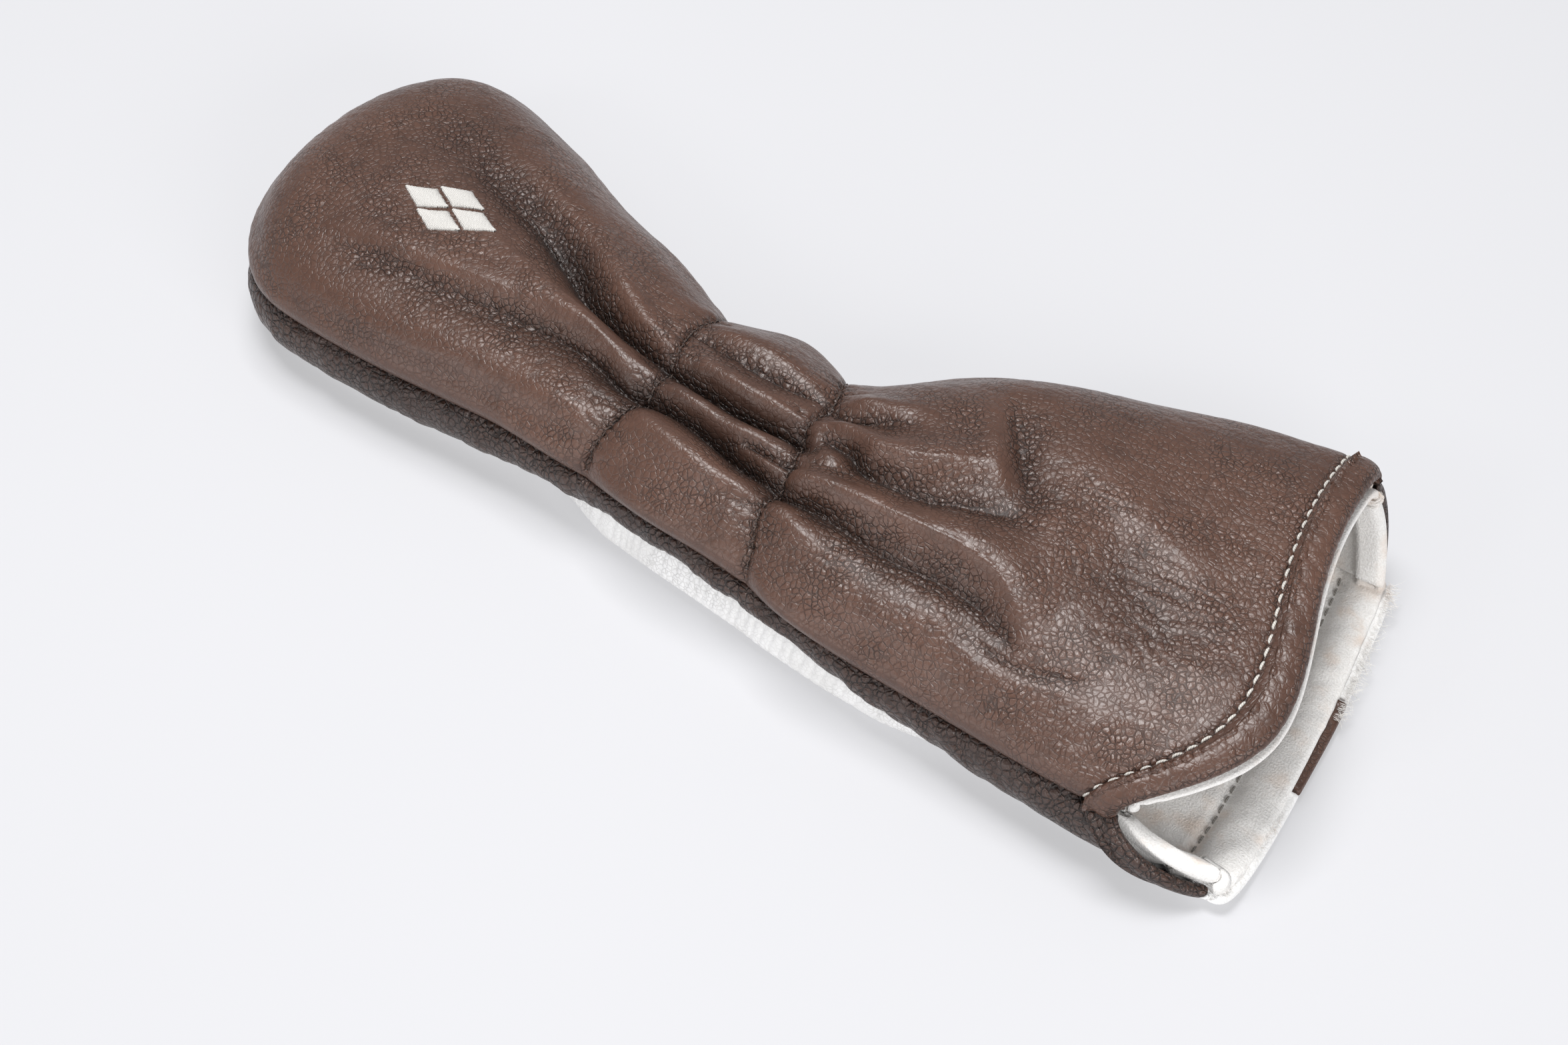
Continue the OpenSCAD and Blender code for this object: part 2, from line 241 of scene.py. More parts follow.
# Each row is x, y, height, width on the far side, width on the near side
ROLL, CREASED = 2.0, 0.9
DEEPER = {ROLL: 1.35, CREASED: 1.5}
FOLDS = [
    # the long central valley, from the head through the neck to the second row of gathers
    (CREASED, [(-140, 26, 0, 12, 9), (-122, 19, -1.4, 13, 9), (-102, 11, -2.8, 12, 8),
     (-84, 5, -4.4, 10, 6), (-70, -1, -6, 8, 4), (-57, -8, -7, 5, 3), (-44, -12, -7, 3.5, 3),
     (-33, -14, -6, 3, 3), (-24, -16, -4.5, 2.5, 3), (-14, -17, -7, 3, 3), (-2, -18, -7.5, 3, 3.2),
     (10, -18, -6.5, 3, 3.2), (18, -18, -5, 3, 3), (25, -20, -2, 2.5, 3), (30, -22, 0, 2.5, 3)]),
    # the far roll beside it
    (ROLL, [(-125, 30, 0, 9, 8), (-105, 24, 1.2, 9, 7), (-85, 17, 1.8, 8, 6), (-68, 9, 2, 7, 5),
     (-54, 1, 2, 5, 4), (-40, -7, 1.8, 4, 3.5), (-30, -11, 1.2, 3.5, 3), (-22, -12, 0.4, 3, 3),
     (-12, -13, 1.8, 4, 3.5), (0, -14, 2, 4, 3.5), (12, -14, 1.8, 4, 3), (21, -13, 0.8, 3, 2.5),
     (30, -11, 2.2, 3.5, 3), (42, -13, 2.6, 4.5, 4), (52, -11, 2.6, 6, 4.5), (61, -6, 2.2, 7, 5),
     (68, -2, 1.2, 7, 5), (74, 0, 0, 6, 5)]),
    # the central roll on the near side of the valley
    (ROLL, [(-96, -8, 0, 5, 6), (-82, -11, 1.2, 4, 6), (-66, -15, 2, 4, 5), (-50, -17, 2.2, 4, 4.5),
     (-36, -20, 1.6, 3.5, 4), (-25, -23, 0.4, 3, 3), (-14, -24, 2, 4, 4), (0, -26, 2.4, 4.5, 4),
     (12, -25, 2, 4, 3), (20, -25, 0.8, 3, 2.5), (27, -26, 0, 2, 2)]),
    # the roll below the motif
    (ROLL, [(-138, -28, 0, 7, 5), (-120, -26, 1.2, 7, 4), (-100, -24, 1.4, 6, 4), (-80, -22, 1.4, 5, 4),
     (-60, -20, 1.4, 4, 4), (-46, -20.5, 1.6, 3.5, 4), (-34, -24, 1.2, 3, 3), (-27, -27, 0, 2.5, 2.5)]),
    # the valley below that roll, which deepens into the neck's second crease
    (CREASED, [(-132, -33, 0, 5, 6), (-112, -31, -1.4, 5, 7), (-90, -30, -2, 5, 7),
     (-70, -27.5, -2.6, 4.5, 7), (-54, -26, -3.4, 4, 6), (-40, -26.5, -4.4, 3.5, 5),
     (-29, -29.5, -5, 3, 3.5), (-20, -29, -5.5, 3, 3), (-10, -29, -6.5, 3, 3), (2, -30.5, -7.5, 3.5, 3),
     (12, -32.5, -7, 3, 3), (20, -34, -5, 2.5, 3), (28, -36.5, -4, 3, 3), (38, -36.5, -4.5, 4, 3.5),
     (50, -38, -4, 4.5, 4), (64, -39, -3.2, 4.5, 5), (80, -37.5, -2.8, 4, 5), (94, -40, -2, 4, 4),
     (104, -44, 0, 4, 4)]),
    # the smooth roll above the near seam at the head
    (ROLL, [(-150, -43, 0, 4, 4), (-130, -44, 1, 5, 4), (-100, -45, 1.2, 6, 4), (-70, -42, 1.4, 6, 4),
     (-45, -41, 1.4, 4, 4), (-32, -42, 0.6, 3, 4), (-26, -43, 0, 3, 4)]),
    # the neck's near roll
    (ROLL, [(-25, -36, 0, 3, 3), (-16, -36.5, 1.8, 3.5, 4), (-4, -38.5, 2.4, 4, 4), (8, -40, 2, 3.5, 4),
     (17, -40, 1.2, 3, 3), (24, -40.5, 0.4, 2.5, 3), (31, -41, 1.4, 3, 3), (38, -43.5, 1.2, 3, 3),
     (48, -46, 0, 3, 3)]),
    # the crease beside the far roll of the neck
    (CREASED, [(-28, -3, 0, 3, 3), (-20, -3, -1.8, 4, 3), (-8, -4.5, -2.4, 4.5, 3.5),
     (4, -4.5, -2.4, 4, 3), (12, -4, -2.2, 3, 2.5), (19, -3.5, -1.2, 2.5, 2.5), (27, -6, -2.6, 2.5, 3.5),
     (37, -3.5, -1.8, 3, 4), (48, 1, 0, 4, 4)]),
    (ROLL, [(-24, 2, 0, 4, 3), (-12, 2.5, 1.2, 5, 4), (2, 2, 1.2, 5, 4), (12, 1, 0.6, 4, 3),
     (20, 0, 0, 3, 2.5), (28, 0, 1.4, 3.5, 2.5), (38, 2, 1, 4, 3), (50, 6, 0, 4, 4)]),
    # the small roll that starts inside the neck's second crease and runs out as the skirt's main ridge
    (ROLL, [(6, -31, 0, 2, 2), (14, -30, 2.2, 2.4, 2.2), (21, -30.5, 1.6, 2.5, 2.2),
     (25, -31, 1, 2.5, 2.2), (33, -31, 2.8, 3.5, 3), (46, -30, 3, 4, 3.5), (60, -29, 2.8, 5, 3.5),
     (74, -28, 2.4, 6, 3.5), (86, -28.5, 1.8, 7, 3.5), (95, -32, 1.4, 7, 3.5), (101, -37, 0.6, 6, 3.5),
     (104, -42, 0, 5, 3.5)]),
    (CREASED, [(8, -27.5, 0, 1.6, 1.6), (14, -27.7, -2.6, 1.6, 1.6), (22, -28.5, -2, 1.6, 1.4),
     (28, -27.5, 0, 1.6, 1.4)]),
    # the crescent crease round the small lump past the second row
    (CREASED, [(24, -15.5, 0, 2, 2), (29, -15.5, -2.4, 2, 3), (35, -16, -4, 3, 3),
     (41, -19.5, -4.4, 3.5, 3), (48, -20, -3.6, 5, 3.5), (60, -19.5, -3, 5, 4), (72, -15.5, -2.6, 5, 5),
     (82, -13, -1.6, 5, 5), (92, -11, 0, 5, 5)]),
    (ROLL, [(27, -21, 0, 2.5, 2.5), (33, -21.5, 1.2, 3, 3), (38, -24, 0, 2.5, 2.5)]),
    # the plateau above the skirt's main ridge
    (ROLL, [(58, -25, 0, 6, 5), (75, -22, 1, 7, 6), (90, -23, 1, 8, 7), (106, -27, 0, 8, 8)]),
    # the dent across the skirt with the bright ridge before it
    (CREASED, [(60, 24, 0, 6, 4), (66, 15, -1.4, 6, 4), (72, 8, -2, 6, 4), (77, 2, -2, 5, 4),
     (83, -4, -1.4, 5, 4), (88, -10, 0, 5, 4)]),
    (ROLL, [(56, 22, 0, 4, 4), (62, 12, 1, 4, 4), (67, 4, 1.4, 4, 4), (73, -3, 1.2, 4, 4),
     (78, -8, 0, 4, 4)]),
    # crescent wrinkles near the skirt's near side
    (CREASED, [(82, -44, 0, 2, 2), (94, -46, -0.8, 2, 3), (106, -46.5, -0.8, 2, 3),
     (118, -43, -0.5, 2, 3), (126, -39, 0, 2, 3)]),
    (ROLL, [(90, -49, 0, 3, 3), (104, -50, 0.5, 3, 4), (120, -47, 0, 3, 4)]),
    # the broad hollow before the hem and the ridge on its far side
    (ROLL, [(98, -13, 0, 12, 9), (112, -14, -1.3, 13, 10), (124, -16, -1.6, 14, 12),
     (137, -16, -0.9, 13, 12), (148, -16, 0, 12, 12)]),
    (ROLL, [(76, 20, 0, 8, 7), (92, 15, 0.8, 9, 7), (108, 8, 1, 9, 7), (124, 2, 0.8, 8, 7),
     (138, -3, 0, 8, 7)]),
    # a fainter pair on the far side of the skirt
    (ROLL, [(50, 27, 0, 5, 5), (70, 30, 0.5, 7, 6), (100, 30, 0, 8, 8)]),
]

# x of each gathered row
GATHERS = {"head": -24.4, "mouth": 23.6}


def row_x(y, which):
    """x of a row of gather stitches at y. The rows aren't quite straight."""
    if which == "head":
        return GATHERS["head"] + 2.4 * bell(y + 24, 12) - 1.4 * bell(y, 8) - 2 * bell(y + 50, 8)
    return GATHERS["mouth"] - 0.17 * (y + 27) + 1.2 * np.sin((y + 8) / 4.5)


def puckers(xy):
    """Small creases that fan out from the stitches of both gathered rows."""
    rng = np.random.default_rng(SEED)
    total = np.zeros(len(xy))
    for which in GATHERS:
        for y in np.arange(-52, 10, 2.6):
            x = float(row_x(np.array(y), which))
            for way in (-1, 1):
                for _ in range(3):
                    turn = rng.uniform(-0.75, 0.75)
                    run = rng.uniform(4, 13)
                    deep = rng.uniform(-0.5, -0.16)
                    width = rng.uniform(0.5, 1.0)
                    tip = (x + way * run * math.cos(turn), y + run * math.sin(turn) * 0.7)
                    mid = (x + way * run * 0.45, y + run * 0.3 * math.sin(turn))
                    total += stroke(xy, [(x, y, deep, width * 0.7, width * 0.7), (*mid, deep, width, width),
                                         (*tip, 0, width, width)], CREASED)
    return total


def top_folds(xy):
    """How far the top panel stands off its smooth dome at xy."""
    total = sum(stroke(xy, rows, power, DEEPER[power]) for power, rows in FOLDS)
    x, y = xy[:, 0], xy[:, 1]
    for which in GATHERS:
        off = x - row_x(y, which)
        total -= 1.1 * np.exp(-np.abs(off) / 2.2) + 0.5 * bell(off, 1.0)
    total += puckers(xy)
    slack = np.clip(-total / 3, 0, 1)
    warp = 1.5 * noise(x / 9, y / 9, 3)
    total += (0.1 + 0.22 * slack) * noise(x / 5 + warp, y / 1.8 + warp, 4)
    total += 0.3 * noise(x / 16, y / 12, 5)
    return total


# ---------------------------------------------------------------- grids and meshes
def unit(v):
    return v / np.maximum(np.linalg.norm(v, axis=-1, keepdims=True), 1e-9)


def lengths(points):
    """How far along a line of points each one lies."""
    return np.concatenate([[0], np.cumsum(np.linalg.norm(np.diff(points, axis=0), axis=1))])


def curve_at(where, far, points):
    """Points of a curve at distances where, when its own points lie at distances far."""
    return np.stack([np.interp(where, far, points[:, k]) for k in range(3)], -1)


def normals(grid):
    """Normals of a grid of points, outward for the top and the gusset and upward for the underside."""
    return unit(np.cross(np.gradient(grid, axis=0), np.gradient(grid, axis=1)))


def neighbours(field, axis):
    """The values before and after each one along an axis, where the ends repeat."""
    n = field.shape[axis]
    steps = np.arange(n)
    before, after = np.maximum(steps - 1, 0), np.minimum(steps + 1, n - 1)
    return np.take(field, before, axis), np.take(field, after, axis)


def blur(field, passes):
    """Softens a grid of values."""
    for _ in range(passes):
        for axis in (0, 1):
            behind, ahead = neighbours(field, axis)
            field = 0.5 * field + 0.25 * (ahead + behind)
    return field


def lowest_around(field, steps):
    """The least value within a few grid steps, so that an inner layer keeps clear of a fold."""
    for _ in range(steps):
        for axis in (0, 1):
            behind, ahead = neighbours(field, axis)
            field = np.minimum(np.minimum(behind, field), ahead)
    return field


def add_mesh(name, points, faces, material, uv=None):
    """A smooth-shaded piece from points in millimetres."""
    mesh = bpy.data.meshes.new(name)
    mesh.from_pydata((np.asarray(points) * MM).tolist(), [], faces)
    if uv is not None:
        layer = mesh.uv_layers.new(name="UVMap")
        loops = np.empty(len(mesh.loops), int)
        mesh.loops.foreach_get("vertex_index", loops)
        layer.data.foreach_set("uv", np.asarray(uv, float)[loops].ravel())
    mesh.polygons.foreach_set("use_smooth", [True] * len(mesh.polygons))
    mesh.materials.append(material)
    mesh.validate()
    mesh.update()
    piece = bpy.data.objects.new(name, mesh)
    bpy.context.scene.collection.objects.link(piece)
    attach(piece, BODY)
    return piece


def grid_faces(rows, cols, flip):
    """Quads of a grid, facing outward where its rows run to the mouth and its columns to the far side."""
    faces = []
    for i in range(rows - 1):
        for j in range(cols - 1):
            a = i * cols + j
            quad = (a, a + cols, a + cols + 1, a + 1)
            faces.append(quad[::-1] if flip else quad)
    return faces


def thicken(piece, thickness):
    """Gives a leather or cloth skin its thickness, on its inner side."""
    solid = piece.modifiers.new("thickness", "SOLIDIFY")
    solid.thickness = thickness * MM
    solid.offset = -1
    solid.use_rim = True


def add_grid(name, grid, material, thickness, flip=False):
    """A piece whose outer skin is a grid of points."""
    rows, cols = grid.shape[:2]
    piece = add_mesh(name, grid.reshape(-1, 3), grid_faces(rows, cols, flip), material)
    thicken(piece, thickness)
    return piece


def turned_hem(grid, radius, inside, flip=1.0):
    """Adds rows past a grid's last row, which turn the sheet round its mouth edge and back inside."""
    out = unit(grid[-1] - grid[-4])
    up = unit(np.cross(out, np.gradient(grid[-1], axis=0))) * flip
    rows = [grid]
    for turn in np.radians(np.arange(20, 181, 20)):
        rows.append((grid[-1] + radius * (math.sin(turn) * out + (math.cos(turn) - 1) * up))[None])
    for back in np.arange(1, inside, 1.5):
        rows.append((grid[-1] - 2 * radius * up - back * out)[None])
    return np.concatenate(rows)


def sample(grid, i, j):
    """Points of a grid at fractional rows and columns."""
    i, j = np.clip(i, 0, grid.shape[0] - 1.001), np.clip(j, 0, grid.shape[1] - 1.001)
    a, b = np.floor(i).astype(int), np.floor(j).astype(int)
    s, t = (i - a)[:, None], (j - b)[:, None]
    return (grid[a, b] * (1 - s) * (1 - t) + grid[a + 1, b] * s * (1 - t)
            + grid[a, b + 1] * (1 - s) * t + grid[a + 1, b + 1] * s * t)


def on_grid(grid, rows, columns):
    """Points of a grid and its normals there."""
    return sample(grid, rows, columns), sample(normals(grid), rows, columns)


def add_sheet(name, node, grid, material, thickness=LEATHER_T,
              flip=False):
    """A sewn sheet. Its cut isn't a rectangle.

    The lining is as thick as the leather."""
    piece = add_grid(name, grid, material, thickness, flip)
    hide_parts(node)
    return piece


# ---------------------------------------------------------------- materials
BAND_TURN = 6.3


class Look:
    """A material under construction, with its Principled shader."""

    def __init__(self, name):
        self.material = bpy.data.materials.new(name)
        self.material.use_nodes = True
        self.nodes, self.links = self.material.node_tree.nodes, self.material.node_tree.links
        self.shader = self.nodes["Principled BSDF"]
        self.place = self.add("ShaderNodeTexCoord").outputs["Object"]

    def add(self, kind, **settings):
        """A node. Each setting is a socket's value, or else a property of the node."""
        node = self.nodes.new(kind)
        for key, value in settings.items():
            if key in node.inputs:
                node.inputs[key].default_value = value
            else:
                setattr(node, key, value)
        return node

    def link(self, source, node, socket):
        self.links.new(source, node.inputs[socket])

    def noise(self, size, detail):
        """Noise whose features are about size millimetres across."""
        node = self.add("ShaderNodeTexNoise", Scale=1 / (size * MM), Detail=detail)
        self.link(self.place, node, "Vector")
        return node.outputs["Fac"]

    def cells(self, size, feature, vector=None):
        """Distance to the middle or the edge of cells of about size millimetres."""
        node = self.add("ShaderNodeTexVoronoi", feature=feature, Scale=1 / (size * MM))
        self.link(vector or self.place, node, "Vector")
        return node.outputs["Distance"]

    def spread(self, value, low, high, to_low=0.0, to_high=1.0):
        """The value's range from low to high, spread smoothly over another range."""
        node = self.add("ShaderNodeMapRange", interpolation_type="SMOOTHSTEP")
        for socket, number in zip(("From Min", "From Max", "To Min", "To Max"), (low, high, to_low, to_high)):
            node.inputs[socket].default_value = number
        self.link(value, node, "Value")
        return node.outputs["Result"]

    def maths(self, operation, a, b):
        """A sum or another operation on two values, each a number or a socket."""
        node = self.add("ShaderNodeMath", operation=operation)
        for socket, value in enumerate((a, b)):
            if isinstance(value, (int, float)):
                node.inputs[socket].default_value = value
            else:
                self.links.new(value, node.inputs[socket])
        return node.outputs[0]

    def times(self, a, b):
        return self.maths("MULTIPLY", a, b)

    def mix(self, factor, a, b):
        """A blend of two colours. A mix node has them at sockets 6 and 7, and gives one at output 2."""
        node = self.add("ShaderNodeMix", data_type="RGBA")
        for socket, value in ((0, factor), (6, a), (7, b)):
            if isinstance(value, (int, float, tuple)):
                node.inputs[socket].default_value = value
            else:
                self.links.new(value, node.inputs[socket])
        return node.outputs[2]

    def warped(self, size, amount):
        """The place, moved about by noise, so that cells aren't regular."""
        node = self.add("ShaderNodeTexNoise", Scale=1 / (size * MM))
        self.link(self.place, node, "Vector")
        shift = self.add("ShaderNodeVectorMath", operation="MULTIPLY_ADD")
        self.links.new(node.outputs["Color"], shift.inputs[0])
        shift.inputs[1].default_value = (amount * MM,) * 3
        self.links.new(self.place, shift.inputs[2])
        return shift.outputs[0]

    def bands(self, direction, scale, distortion, vector=None):
        """Parallel bands across one direction."""
        node = self.add("ShaderNodeTexWave", wave_type="BANDS", bands_direction=direction, Scale=scale,
                        Distortion=distortion)
        self.link(vector or self.place, node, "Vector")
        return node.outputs["Fac"]

    def bump(self, height, depth, before=None):
        """Bump of depth millimetres, on top of another if it's given."""
        node = self.add("ShaderNodeBump", Strength=1.0, Distance=depth * MM)
        self.link(height, node, "Height")
        if before is not None:
            self.link(before, node, "Normal")
        return node.outputs["Normal"]

    def set(self, **values):
        """Sets the shader's own sockets, with _ for a space in a name."""
        for key, value in values.items():
            self.shader.inputs[key.replace("_", " ")].default_value = value

    def finish(self, colour, roughness, normal):
        self.links.new(colour, self.shader.inputs["Base Color"])
        self.links.new(roughness, self.shader.inputs["Roughness"])
        self.links.new(normal, self.shader.inputs["Normal"])
        return self.material


def rgb(r, g, b):
    """A colour given as it looks on a screen, 0 to 255."""
    return tuple(((c / 255 + 0.055) / 1.055) ** 2.4 for c in (r, g, b)) + (1.0,)


def leather(name, deep, base, lifted, pebble, relief, gloss, rest=0.3):
    """Pebbled leather. Its grain stands up where the skin is slack, and is pulled nearly flat elsewhere.
    Where a piece marks the depth of its folds, its colour is also darkened towards deep in their hollows, as
    painted shade.
    """
    look = Look(name)
    place = look.warped(pebble * 3.5, pebble * 1.5)
    dome = look.spread(look.cells(pebble, "F1", place), 0.05, 0.72, 1, 0)
    groove = look.spread(look.cells(pebble, "DISTANCE_TO_EDGE", place), 0.0, 0.13)
    fine = look.spread(look.cells(pebble * 0.42, "F1", place), 0.05, 0.7, 1, 0)
    patches = look.spread(look.noise(15, 2), 0.42, 0.66, rest, rest + 0.4)
    slack = look.add("ShaderNodeAttribute", attribute_name="slack").outputs["Fac"]
    # Painted shade: the depth of the folds, which darkens the colour in their hollows
    painted_fold_shade = look.add("ShaderNodeAttribute", attribute_name="painted_fold_shade").outputs["Fac"]
    grain = look.maths("ADD", patches, look.times(slack, 0.75))
    grain = look.maths("MAXIMUM", look.maths("MINIMUM", grain, 1.0), 0.2)
    pebbles = look.times(look.maths("ADD", look.times(dome, 0.55), look.times(groove, 0.45)), grain)
    between = look.times(look.maths("SUBTRACT", 1.0, groove), grain)
    colour = look.mix(look.spread(look.noise(30, 2), 0.3, 0.7), base, lifted)
    colour = look.mix(look.spread(look.noise(6, 4), 0.45, 0.75, 0, 0.25), colour, deep)
    colour = look.mix(look.times(between, 0.75), colour, deep)
    # Painted shade in the hollows of the folds, where shade falls
    colour = look.mix(look.times(painted_fold_shade, 0.85), colour, deep)
    rough = look.maths("ADD", look.spread(look.noise(2.5, 3), 0.3, 0.7, gloss - 0.04, gloss + 0.06),
                       look.times(between, 0.2))
    normal = look.bump(pebbles, relief)
    normal = look.bump(look.times(fine, grain), relief * 0.22, normal)
    normal = look.bump(look.noise(0.6, 3), relief * 0.12, normal)
    look.set(Specular_IOR_Level=0.5, Coat_Weight=0.1, Coat_Roughness=0.22)
    return look.finish(colour, rough, normal)


def fleece(name, light, shade, stain):
    """Brushed lining cloth: fine ribs, soft nap, faint tan marks."""
    look = Look(name)
    ribs = look.bands("Y", 1 / (0.6 * MM) / BAND_TURN, 1.2)
    nap = look.noise(0.5, 4)
    marks = look.spread(look.noise(11, 3), 0.5, 0.74, 0, 0.6)
    colour = look.mix(look.spread(nap, 0.3, 0.7), shade, light)
    colour = look.mix(marks, colour, stain)
    normal = look.bump(ribs, 0.035)
    normal = look.bump(nap, 0.3, normal)
    look.set(Sheen_Weight=0.3, Sheen_Roughness=0.6, Specular_IOR_Level=0.15)
    return look.finish(colour, look.spread(nap, 0, 1, 0.85, 0.98), normal)


def yarn(name, light, dark, gloss, pitch=0.55):
    """Twisted thread. Its UVs run in millimetres along the thread and once round it."""
    look = Look(name)
    uv = look.add("ShaderNodeUVMap").outputs["UV"]
    twist = look.bands("DIAGONAL", 1 / pitch / 2, 0.4, uv)
    fibre = look.noise(0.2, 3)
    colour = look.mix(look.times(twist, 0.8), dark, light)
    colour = look.mix(look.spread(fibre, 0.4, 0.7, 0, 0.2), colour, dark)
    normal = look.bump(twist, 0.12)
    normal = look.bump(fibre, 0.04, normal)
    look.set(Sheen_Weight=0.2)
    return look.finish(colour, look.spread(fibre, 0, 1, gloss, gloss + 0.2), normal)


def woven(name, light, dark, size, depth):
    """Plain cloth: two sets of bands that cross."""
    look = Look(name)
    scale = 1 / (size * MM) / BAND_TURN
    cloth_map = look.maths("MAXIMUM", look.bands("X", scale, 0.5), look.bands("Y", scale, 0.5))
    colour = look.mix(cloth_map, dark, light)
    colour = look.mix(look.spread(look.noise(8, 2), 0.4, 0.7, 0, 0.2), colour, dark)
    normal = look.bump(cloth_map, depth)
    return look.finish(colour, look.spread(look.noise(1, 2), 0, 1, 0.75, 0.9), normal)


def foam(name, light, dark):
    """Open-cell foam."""
    look = Look(name)
    pores = look.spread(look.cells(0.8, "F1"), 0.15, 0.6)
    colour = look.mix(pores, dark, light)
    normal = look.bump(pores, 0.25)
    normal = look.bump(look.noise(0.3, 3), 0.08, normal)
    return look.finish(colour, look.spread(look.noise(3, 2), 0, 1, 0.85, 0.97), normal)


# deep is the dark of the grain's grooves and of the mottling, and on the top panel also the colour of the
# painted shade in fold hollows
BROWN = dict(deep=rgb(32, 20, 15), base=rgb(83, 58, 47), lifted=rgb(93, 66, 54))
top_leather = leather("top_leather", **BROWN, pebble=1.7, relief=0.5, gloss=0.34, rest=0.34)
DARK_BROWN = dict(deep=rgb(18, 12, 10), base=rgb(60, 41, 33), lifted=rgb(70, 49, 40))
WHITE = dict(deep=rgb(205, 203, 199), base=rgb(247, 246, 244), lifted=rgb(250, 249, 248))
side_leather = leather("side_leather", **DARK_BROWN, pebble=2.0, relief=0.8, gloss=0.32, rest=0.7)
stripe_leather = leather("stripe_leather", **BROWN, pebble=1.5, relief=0.3, gloss=0.38)
white_leather = leather("white_leather", **WHITE, pebble=1.5, relief=0.2, gloss=0.42)
lining_cloth = fleece("lining_cloth", rgb(249, 247, 244), rgb(232, 229, 225), rgb(222, 198, 178))
brown_yarn = yarn("brown_yarn", rgb(96, 72, 58), rgb(46, 32, 26), 0.5)
grey_yarn = yarn("grey_yarn", rgb(168, 163, 156), rgb(112, 107, 100), 0.6)
white_yarn = yarn("white_yarn", rgb(238, 235, 229), rgb(196, 190, 180), 0.5)
satin_yarn = yarn("satin_yarn", rgb(240, 238, 234), rgb(206, 202, 196), 0.35, 0.4)
elastic_cloth = woven("elastic_cloth", rgb(232, 230, 224), rgb(170, 166, 158), 0.7, 0.2)
backing_cloth = woven("backing_cloth", rgb(230, 228, 222), rgb(188, 185, 178), 0.5, 0.08)
pad_foam = foam("pad_foam", rgb(176, 176, 178), rgb(110, 110, 114))


# ---------------------------------------------------------------- the shared skins
ROWS, COLUMNS = ((640, 320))
HEM_ROLL = 1.6
MIDDLE_E = 190.0
s_line = np.linspace(0, 1, ROWS)
e_line = station(s_line)
v_dense = np.linspace(-1, 1, 2001)
section = top_skin(np.full_like(v_dense, MIDDLE_E), v_dense)
girth = lengths(section)
v_line = np.interp(np.linspace(0, girth[-1], COLUMNS), girth, v_dense)
v_line = 0.85 * v_line + 0.15 * np.linspace(-1, 1, COLUMNS)
E, V = np.meshgrid(e_line, v_line, indexing="ij")


def row_at(e):
    return np.interp(e, e_line, np.arange(ROWS))


def column_at(v):
    return np.interp(v, v_line, np.arange(COLUMNS))


def seam_height(grid):
    """Height of each point of the top's grid over the top seam beside it."""
    x = TABLE_HEAD_X + E
    edge = np.sin(math.pi / 2 * V)
    return grid[..., 2] - column(x, SEAM) - column(x, TILT) * edge


def hem_roll(back, height, dent):
    """The turned hem as a low roll, with a dent where the topstitch draws it down."""
    roll = height * np.clip(np.sin(math.pi * np.clip(back / HEM_W, 0, 1)), 0, 1) ** 0.6
    return roll - dent * np.exp(-np.abs(back - HEM_W) / 0.9)


def top_relief(grid):
    """The top panel's folds, edge roll and hem, as heights over its smooth skin."""
    folds = top_folds(grid[..., :2].reshape(-1, 2)).reshape(grid.shape[:2])
    over_seam = seam_height(grid)
    back = BODY_LEN - E
    folds = folds * smooth_step(over_seam, 0, 6) * smooth_step(back, 3, HEM_W + 7)
    x, y = grid[..., 0], grid[..., 1]
    head_off, mouth_off = np.abs(x - row_x(y, "head")), np.abs(x - row_x(y, "mouth"))
    pinched = 1 - 0.9 * np.exp(-head_off / 5) - 0.9 * np.exp(-mouth_off / 5)
    pillow = bell(x + 2, 16) + 1.3 * bell(x - 42, 15) + 0.7 * bell(x + 46, 18)
    seam_roll = (1.5 + 1.5 * pillow) * pinched * bell(over_seam - 5, 3.8)
    seam_roll = seam_roll - 1.5 * np.exp(-np.maximum(over_seam, 0) / 1.0)
    ripple = 0.22 * noise(V * 60 + 0.3 * E, E / 6, 9) * smooth_step(back, HEM_W + 4, HEM_W - 2)
    return folds + seam_roll * smooth_step(back, 0, 12) + hem_roll(back, 1.5, 0.9) + ripple


smooth_top = top_skin(E, V)
top_out = normals(smooth_top)
relief = top_relief(smooth_top)
CLEAR_STEPS = 10
inner_relief = blur(np.minimum(lowest_around(relief, CLEAR_STEPS), 0.3), CLEAR_STEPS)
top_grid = smooth_top + top_out * relief[..., None]


def inner_top(e0, e1, v0, v1, depth, rows, columns):
    """A smoother skin under the top panel, clear of its folds."""
    e, v = np.meshgrid(np.linspace(e0, e1, rows), np.linspace(v0, v1, columns), indexing="ij")
    base = top_skin(e, v, depth)
    i, j = row_at(e).ravel(), column_at(v).ravel()
    drop = sample(inner_relief[..., None], i, j).reshape(e.shape)
    out = sample(top_out, i, j).reshape(base.shape)
    return base + out * drop[..., None]


# The seam's path, from the near mouth corner round the head end to the far mouth corner
SIDE_ROWS = 680
SIDE_BULGE = 3.5
seam_e = station(np.linspace(0, 1, SIDE_ROWS))
path_e = np.concatenate([seam_e[::-1], seam_e])
path_side = np.concatenate([-np.ones(SIDE_ROWS), np.ones(SIDE_ROWS)])
seam_line = seam_at(path_e, path_side)
heading = unit(np.gradient(seam_line[:, :2], axis=0))
outward = np.stack([-heading[:, 1], heading[:, 0]], -1)
for _ in range(3):
    outward[1:-1] = unit(outward[:-2] + 2 * outward[1:-1] + outward[2:])
run = lengths(seam_line[:, :2])


def raised_seam(x):
    """1 along the neck, where the lower seam stands off the floor and the pale panel shows under it."""
    return smooth_step(x, -45, -15) * smooth_step(x, 115, 75)


